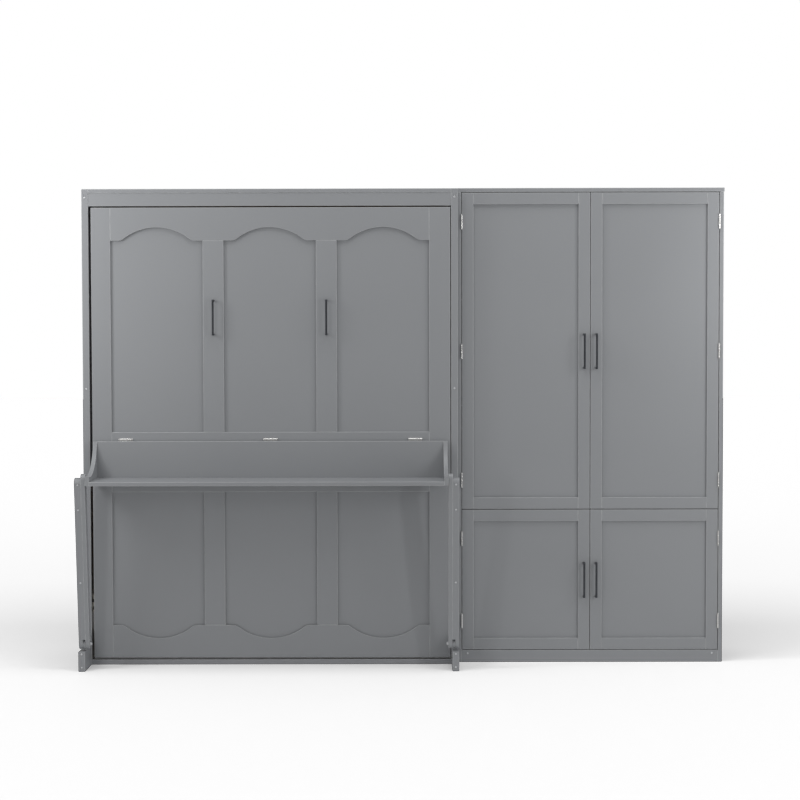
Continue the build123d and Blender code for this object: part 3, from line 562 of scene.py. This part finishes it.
# Boards seen from the room: arrises eased with fine paper.
eased(["bed_face_stiles", "bed_header_rail", "bed_toe_rail", "bed_side_panel_left",
       "bed_side_panel_right", "bed_top_board", "bed_panel_stiles", "bed_panel_top_rail",
       "bed_panel_middle_rail", "bed_panel_bottom_rail", "bed_panel_mullions",
       "wardrobe_side_panel_left", "wardrobe_side_panel_right", "wardrobe_top_board",
       "wardrobe_plinth_rail", *DOORS],
      satin_grey, FRONT_ARRIS, 3)
eased(["bed_panel_infills"], satin_grey, INFILL_ARRIS)
eased(["shelf_back_board", "shelf_board", "shelf_end_board_left", "shelf_end_board_right",
       "arm_left_bar", "arm_left_strip", "arm_right_bar", "arm_right_strip", "foot_block_left",
       "foot_block_right"], satin_grey, SHELF_ARRIS, 3)
# Boards inside the cabinets.
eased(["bed_wall_rails", "bed_side_battens", "bed_headboard", "wardrobe_wall_rail",
       "wardrobe_back_panel", "wardrobe_partitions", "wardrobe_loose_shelves",
       "wardrobe_middle_shelf", "wardrobe_bottom_board"],
      inside_grey, INSIDE_ARRIS)
# Pine: slats rounded by the planer, frame timbers only eased.
eased(["bed_slats"], pine_across, SLAT_ARRIS, 3)
eased(["bed_frame_rails", "slat_bearers"], pine_upright, TIMBER_ARRIS,
      across=pine_across)
# Metal.
eased(["bed_handles", *[f"{door}_handle" for door in DOORS]],
      gunmetal, HANDLE_ARRIS, 3)
eased(["bed_hinge_leaves", "shelf_hinge_leaves", "wardrobe_hinge_leaves",
       *[f"{door}_hinge_leaves" for door in DOORS]], bright_nickel, HINGE_ARRIS)
eased(["cabinet_pivot_plates", "bed_pivot_plates"], passivated, PLATE_ARRIS)
eased(["wardrobe_shelf_pins", "arm_left_bolts", "arm_right_bolts"], zinc, PIN_ARRIS)

face_screw_heads()
arm_screw_heads("left")
arm_screw_heads("right")
wardrobe_hinge_details()
shelf_hinge_details()
slat_screws()
piece_from(pivot_bolts("cabinet_pivot_plates", 1), "cabinet_pivot_bolts", "cabinet",
           passivated)
piece_from(pivot_bolts("bed_pivot_plates", -1), "bed_pivot_bolts", "bed",
           passivated)


# ---- floor and light
FLOOR_REACH = 30                          # m from the middle to each side, out of sight


def pale_floor():
    """Smooth pale studio floor that shows only the shadows that fall on it."""
    material, tree, shader, place = new_finish("painted_pale_floor")
    marks = add(tree, "ShaderNodeTexNoise", {"Vector": place, "Scale": 0.8, "Detail": 4.0})
    tone = add(tree, "ShaderNodeValToRGB", {"Fac": marks.outputs["Fac"]},
               stops=[(0.3, linear("#f4f4f4")), (0.7, linear("#f7f7f7"))])
    tree.links.new(tone.outputs["Color"], shader.inputs["Base Color"])
    shader.inputs["Roughness"].default_value = 0.8
    form = bmesh.new()
    bmesh.ops.create_grid(form, x_segments=8, y_segments=8, size=FLOOR_REACH)
    mesh = bpy.data.meshes.new("floor")
    form.to_mesh(mesh)
    form.free()
    mesh.materials.append(material)
    floor = bpy.data.objects.new("floor", mesh)
    bpy.context.scene.collection.objects.link(floor)
    floor.is_shadow_catcher = True


def softbox(name, place, aim, size, power):
    """Rectangular soft white light at a place, aimed at a point."""
    data = bpy.data.lights.new(name, "AREA")
    data.shape = "RECTANGLE"
    data.size, data.size_y = size
    data.energy = power
    light = bpy.data.objects.new(name, data)
    light.location = place
    light.rotation_mode = "QUATERNION"
    light.rotation_quaternion = (Vector(aim) - Vector(place)).to_track_quat("-Z", "Y")
    light.visible_camera = False
    bpy.context.scene.collection.objects.link(light)


# name, place, aimed at, size across and up, power in watts
LIGHTS = [
    ("right_softbox", (3.4, -1.9, 2.4), (0.9, -0.1, 1.4), (1.2, 1.8), 15),
    ("right_strip", (1.95, -0.75, 1.95), (1.4, -0.05, 1.85), (0.3, 0.9), 2.7),
    ("left_strip", (-2.4, -1.0, 2.2), (-1.3, -0.1, 1.6), (0.5, 1.0), 13),
    ("right_key", (2.7, -3.1, 1.3), (1.1, -0.1, 1.3), (0.2, 2.4), 16),
    ("left_key", (-2.2, -3.1, 1.5), (-0.9, -0.1, 1.5), (0.2, 2.0), 7),
    ("top_key", (-0.3, -0.85, 4.0), (-0.3, -0.25, 0.9), (3.2, 1.3), 35),
]
SURROUND = 0.31                           # light from all round, beside the softboxes


def studio():
    """Surround that looks white to the camera and glows dimly on all else, and the soft lights."""
    world = bpy.data.worlds.new("white_surround")
    bpy.context.scene.world = world
    world.use_nodes = True
    tree = world.node_tree
    seen = tree.nodes["Background"]
    seen.inputs["Color"].default_value = linear("#ffffff")
    seen.inputs["Strength"].default_value = 1.0
    glow = add(tree, "ShaderNodeBackground", {"Color": linear("#ffffff"), "Strength": SURROUND})
    ray = add(tree, "ShaderNodeLightPath")
    both = add(tree, "ShaderNodeMixShader",
               {0: ray.outputs["Is Camera Ray"], 1: glow.outputs[0], 2: seen.outputs[0]})
    tree.links.new(both.outputs[0], tree.nodes["World Output"].inputs["Surface"])
    for name, place, aim, size, power in LIGHTS:
        softbox(name, place, aim, size, power)
    bpy.context.scene.view_settings.view_transform = "Standard"


pale_floor()
studio()
